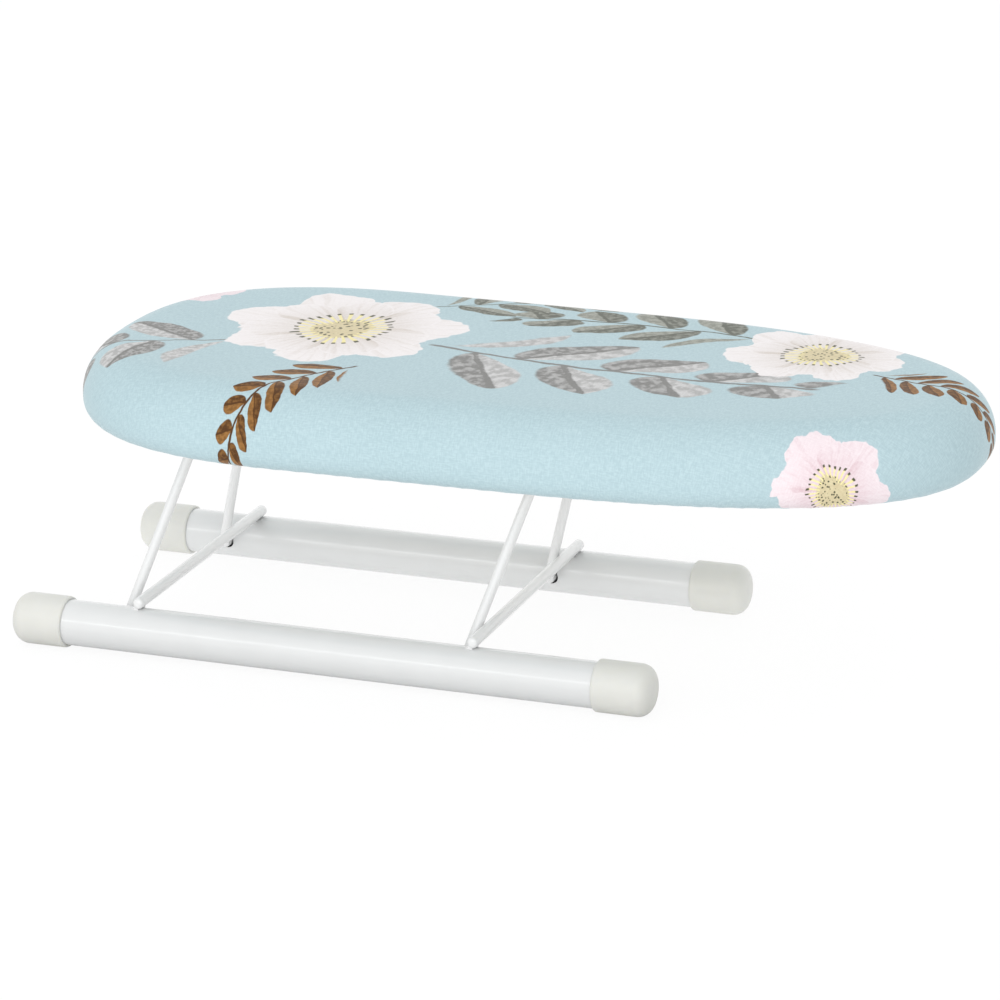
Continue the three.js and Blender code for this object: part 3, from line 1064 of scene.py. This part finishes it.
def hem_stitches(material):
    """A run of stitches that closes the elastic's channel, on the cloth just outside it."""
    outline = board_outline(HEM_POINTS)
    line = ring(outline, HEM_INSET - HEM_RADII[0] - STITCH_OFFSET, -STITCH_DROP)
    length = np.linalg.norm(np.roll(line, -1, 0) - line, axis=1).sum()
    places, _ = evenly(line, round(length / STITCH_PITCH), closed=True)
    heading = np.roll(places, -1, 0) - np.roll(places, 1, 0)
    shapes = []
    for place, ahead in zip(places, heading):
        yaw = math.atan2(ahead[1], ahead[0])
        points, faces = ball((*STITCH_SIZE, STITCH_SIZE[1]), (0, 0, 0), 8)
        turned_points = points @ np.array(Matrix.Rotation(-yaw, 3, "Z"))
        shapes.append((turned_points + place, faces))
    obj = new_object("cover_hem_stitches", new_mesh("hem_stitches", *joined(shapes)))
    obj.data.materials.append(material)
    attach(obj, "board")
    return obj


def sponge_pad(material):
    """The sponge under the cover, which wraps the edge of the core."""
    outline = board_outline(OUTLINE_POINTS // 3)
    recess = RIM_BOTTOM + CORE_MARGIN - SEAT_GAP
    roof = PAD_GAP + CORE_THICKNESS + SEAT_GAP
    section = rim_section(PAD_GAP) + [(recess, PAD_GAP), (recess, roof)]
    rows = np.array([ring(outline, inset, height) for inset, height in section])
    faces = closed_faces(*rows.shape[:2])
    pad = new_object("foam_pad_sponge", new_mesh("foam_pad", rows.reshape(-1, 3), faces))
    dress(pad, material, "board", "foam", "foam_pad")
    return pad


# Clips and screws


def clip_line(bore, reach, level):
    """The middle of the bent strap in the plane across the bar, as (x, z) from the bar's axis."""
    radius = bore + CLIP_THICKNESS / 2
    fillet = CLIP_BEND + CLIP_THICKNESS / 2
    left = [(-reach, level), *arc((-radius - fillet, level - fillet), fillet, 90, 0, 6)]
    right = [(-x, z) for x, z in reversed(left)]
    return left + arc((0, 0), radius, 180, 360, 24) + right


def saddle_clip(node, bar, material):
    """A strap pressed round the bar, with round-cornered ears for its screws."""
    low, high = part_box(node)
    reach = (high.x - low.x) / 2
    half = (high.y - low.y) / 2
    bore = bar.z - low.z - CLIP_THICKNESS
    level = high.z - bar.z - CLIP_THICKNESS / 2
    line, _ = evenly(clip_line(bore, reach, level), CLIP_STEPS)
    middle = (low + high) / 2
    points = []
    for x, z in line:
        into_corner = max(CLIP_CORNER - (reach - abs(x)), 0)
        narrow = CLIP_CORNER - math.sqrt(max(CLIP_CORNER ** 2 - into_corner ** 2, 0))
        for share in np.linspace(-1, 1, CLIP_ROWS):
            points.append((bar.x + x, middle.y + share * (half - narrow), bar.z + z))
    faces = []
    for i in range(len(line) - 1):
        for j in range(CLIP_ROWS - 1):
            first = i * CLIP_ROWS + j
            faces.append((first, first + 1, first + CLIP_ROWS + 1, first + CLIP_ROWS))
    clip = new_object(f"{node}_pressed", new_mesh(node, points, faces))
    thick = clip.modifiers.new("sheet", "SOLIDIFY")
    thick.thickness = CLIP_THICKNESS
    thick.offset = 0
    settled(clip)
    cutters = []
    profile = [(0, -HOLE_REACH), (SCREW_HOLE, -HOLE_REACH), (SCREW_HOLE, HOLE_REACH), (0, HOLE_REACH)]
    hole, hole_faces = turned(profile, HOLE_SIDES, Z)
    for way in ("tail", "nose"):
        screw_low, screw_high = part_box(f"{node}_{way}_screw")
        place = (screw_low + screw_high) / 2
        place.z = bar.z + level
        cutters.append((hole + np.array(place), hole_faces))
    carved(clip, cutters)
    edge = clip.modifiers.new("edge", "BEVEL")
    edge.width = CLIP_BEVEL
    edge.segments = 2
    edge.limit_method = "ANGLE"
    edge.angle_limit = BEVEL_ANGLE
    settled(clip)
    clip.data.shade_smooth()
    clip.data.set_sharp_from_angle(angle=SHARP)
    return dress(clip, material, "board", "white_paint", node)


def screw_shape(node):
    """A pan-head screw with a cross recess, its head down, from the lowest point of the head."""
    low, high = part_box(node)
    head = (high.y - low.y) / 2
    length = high.z - low.z
    profile = [
        (0, 0),
        tuple(HEAD_FLAT),
        *arc((head - HEAD_ROUND, HEAD_ROUND), HEAD_ROUND, -70, 0, 6),
        (head, HEAD_HEIGHT),
        (SHANK_RADIUS, HEAD_HEIGHT),
        (SHANK_RADIUS, length - SCREW_TIP),
        (0, length),
    ]
    return turned(profile, SCREW_SIDES, Z)


def crossed_recess():
    """The two bars of a cross recess, as cutters that reach below the head."""
    cutters = []
    for turn in (0, math.pi / 2):
        box = bmesh.new()
        bmesh.ops.create_cube(box, size=2)
        points = np.array([vertex.co for vertex in box.verts])
        faces = [[vertex.index for vertex in face.verts] for face in box.faces]
        box.free()
        points[:, :2] *= np.where(points[:, 2] > 0, RECESS_TAPER, 1)[:, None]
        points *= (RECESS.x, RECESS.y, (RECESS.z + RECESS_BELOW) / 2)
        points[:, 2] += (RECESS.z - RECESS_BELOW) / 2
        cutters.append((points @ np.array(Matrix.Rotation(turn, 3, "Z")), faces))
    return cutters


def clip_screws(nodes, material):
    """All the screws share one shape, each turned its own way."""
    first = new_object("screw", new_mesh("clip_screw", *screw_shape(nodes[0])))
    mesh = carved(first, crossed_recess()).data
    bpy.data.objects.remove(first)
    for i, node in enumerate(nodes):
        low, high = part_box(node)
        place = ((low.x + high.x) / 2, (low.y + high.y) / 2, low.z)
        screw = new_object(f"{node}_plated", mesh, place)
        screw.rotation_euler.z = SCREW_TURNS[0] + SCREW_TURNS[1] * i
        dress(screw, material, "board", "zinc_steel", node)


# Stage


def add_camera():
    level = Vector((math.cos(AZIMUTH), math.sin(AZIMUTH), 0))
    ahead = Vector((-math.sin(AZIMUTH), math.cos(AZIMUTH), 0)) * math.cos(ELEVATION)
    ahead.z = -math.sin(ELEVATION)
    upright = level.cross(ahead)
    right = level * math.cos(ROLL) + upright * math.sin(ROLL)
    up = upright * math.cos(ROLL) - level * math.sin(ROLL)
    per_pixel = AIM_DISTANCE / FOCAL_LENGTH
    across = (AIM_PIXEL[0] - IMAGE_SIDE / 2) * per_pixel
    down = (AIM_PIXEL[1] - IMAGE_SIDE / 2) * per_pixel
    lens = bpy.data.cameras.new("camera")
    lens.sensor_width = SENSOR
    lens.lens = FOCAL_LENGTH / IMAGE_SIDE * SENSOR
    lens.clip_end = VIEW_REACH
    camera = bpy.data.objects.new("camera", lens)
    bpy.context.scene.collection.objects.link(camera)
    turn = Matrix((right, up, -ahead)).transposed().to_4x4()
    camera.matrix_world = Matrix.Translation(AIM - right * across + up * down - ahead * AIM_DISTANCE) @ turn
    bpy.context.scene.camera = camera


def add_sheet(name, material):
    """A level sheet of paper that runs well past the view."""
    half = PAPER_HALF
    corners = [(-half, -half, 0), (half, -half, 0), (half, half, 0), (-half, half, 0)]
    mesh = bpy.data.meshes.new(name)
    mesh.from_pydata(corners, [], [(0, 1, 2, 3)])
    mesh.materials.append(material)
    sheet = new_object(name, mesh)
    return sheet


def matt_paper(shader, greys, glow):
    """Paper of two clouded greys, with a glow."""
    dull, bright = greys
    cloud = shader.noise(shader.place(), 3.0)
    return shader.finish(
        Base_Color=shader.mix(cloud, colour(*dull), colour(*bright)),
        Roughness=0.9,
        Specular_IOR_Level=0.0,
        Emission_Color=WHITE,
        Emission_Strength=glow,
    )


def add_floor():
    """A white floor that is seen, and an unseen paper just below it that throws back the light and glows as
    painted light, with painted shade in a dimmer band under the front foot.
    """
    floor = add_sheet("floor", matt_paper(Shader("floor"), FLOOR_GREYS, FLOOR_GLOW))
    floor.visible_diffuse = False
    floor.visible_glossy = False
    floor.visible_shadow = False
    shader = Shader("floor_paper")
    _, ahead = shader.plane(shader.place())
    # painted shade: the paper's glow is dimmer in a band under the front foot
    beyond = abs(ahead - PAINTED_SHADE_LINE).step(*PAINTED_SHADE_REACH)
    paper = add_sheet("floor_paper", matt_paper(shader, PAPER_GREYS, beyond.between(*PAPER_GLOW)))
    paper.location.z = -PAPER_DROP
    paper.visible_camera = False


def add_softbox(name, place, size, power):
    """A rectangular soft light that faces the middle of the object."""
    light = bpy.data.lights.new(name, "AREA")
    light.shape = "RECTANGLE"
    light.size, light.size_y = size
    light.energy = power
    obj = bpy.data.objects.new(name, light)
    obj.location = place
    middle = (cad_box[0] + cad_box[1]) / 2
    obj.rotation_euler = (middle - Vector(place)).to_track_quat("-Z", "Y").to_euler()
    bpy.context.scene.collection.objects.link(obj)


def add_light():
    """A soft glow all round, more from front and rear and less from the sides, and two softboxes."""
    world = bpy.data.worlds.new("studio")
    world.use_nodes = True
    sky = Nodes(world.node_tree)
    way = sky.add("ShaderNodeTexCoord", output="Generated")
    aside, ahead = sky.plane(way)
    strength = aside * aside * -SIDE_LOSS + ahead * ahead * FRONT_GAIN + GLOW
    background = world.node_tree.nodes["Background"]
    sky.feed(background.inputs["Strength"], strength)
    sky.feed(background.inputs["Color"], WHITE)
    bpy.context.scene.world = world
    add_softbox("key_light", *KEY_LIGHT)
    add_softbox("strip_light", *STRIP_LIGHT)
    bpy.context.scene.view_settings.view_transform = "Standard"


# Assembly

add_camera()
add_floor()
add_light()

tube_paint = white_paint("tube_paint", *TUBE_WHITES)
# painted light: the wires and clips get a lighter copy of the tube paint
lit_wire_paint = white_paint("lit_wire_paint", *LIT_WIRE_WHITES)
plastic = cap_plastic()
steel = zinc_plate()
for foot in ("front", "rear"):
    foot_tube(foot, tube_paint)
    for end in ("left", "right"):
        end_cap(foot, end, plastic)
for end in ("left", "right"):
    cross_rod(end, lit_wire_paint)
    leg_frame(end, lit_wire_paint)

cover = sewn_cover(cotton())
hem = gathered_hem(plain_cotton())
stitches = hem_stitches(thread())
sponge_pad(sponge())
core = frame["nodes"]["board_core"]
core.data.materials.clear()
core.data.materials.append(fibreboard())

bars = {"left": left_bar, "right": pivots["right"] + bar_offset}
for end, bar in bars.items():
    for side in ("front", "rear"):
        saddle_clip(f"{end}_{side}_clip", bar, lit_wire_paint)
clip_screws(sorted(node for node in frame["nodes"] if node.endswith("_screw")), steel)

turn_run = RIM_TOP * math.pi / 2 + RIM_BAND + RIM_BOTTOM * math.pi / 2 + COVER_TURN
cut_width = cover_high.y - cover_low.y + 2 * (turn_run - RIM_TOP)
cut_length = board_length + 2 * (turn_run - RIM_TOP)
cut_width * cut_length * CUT_SHARE
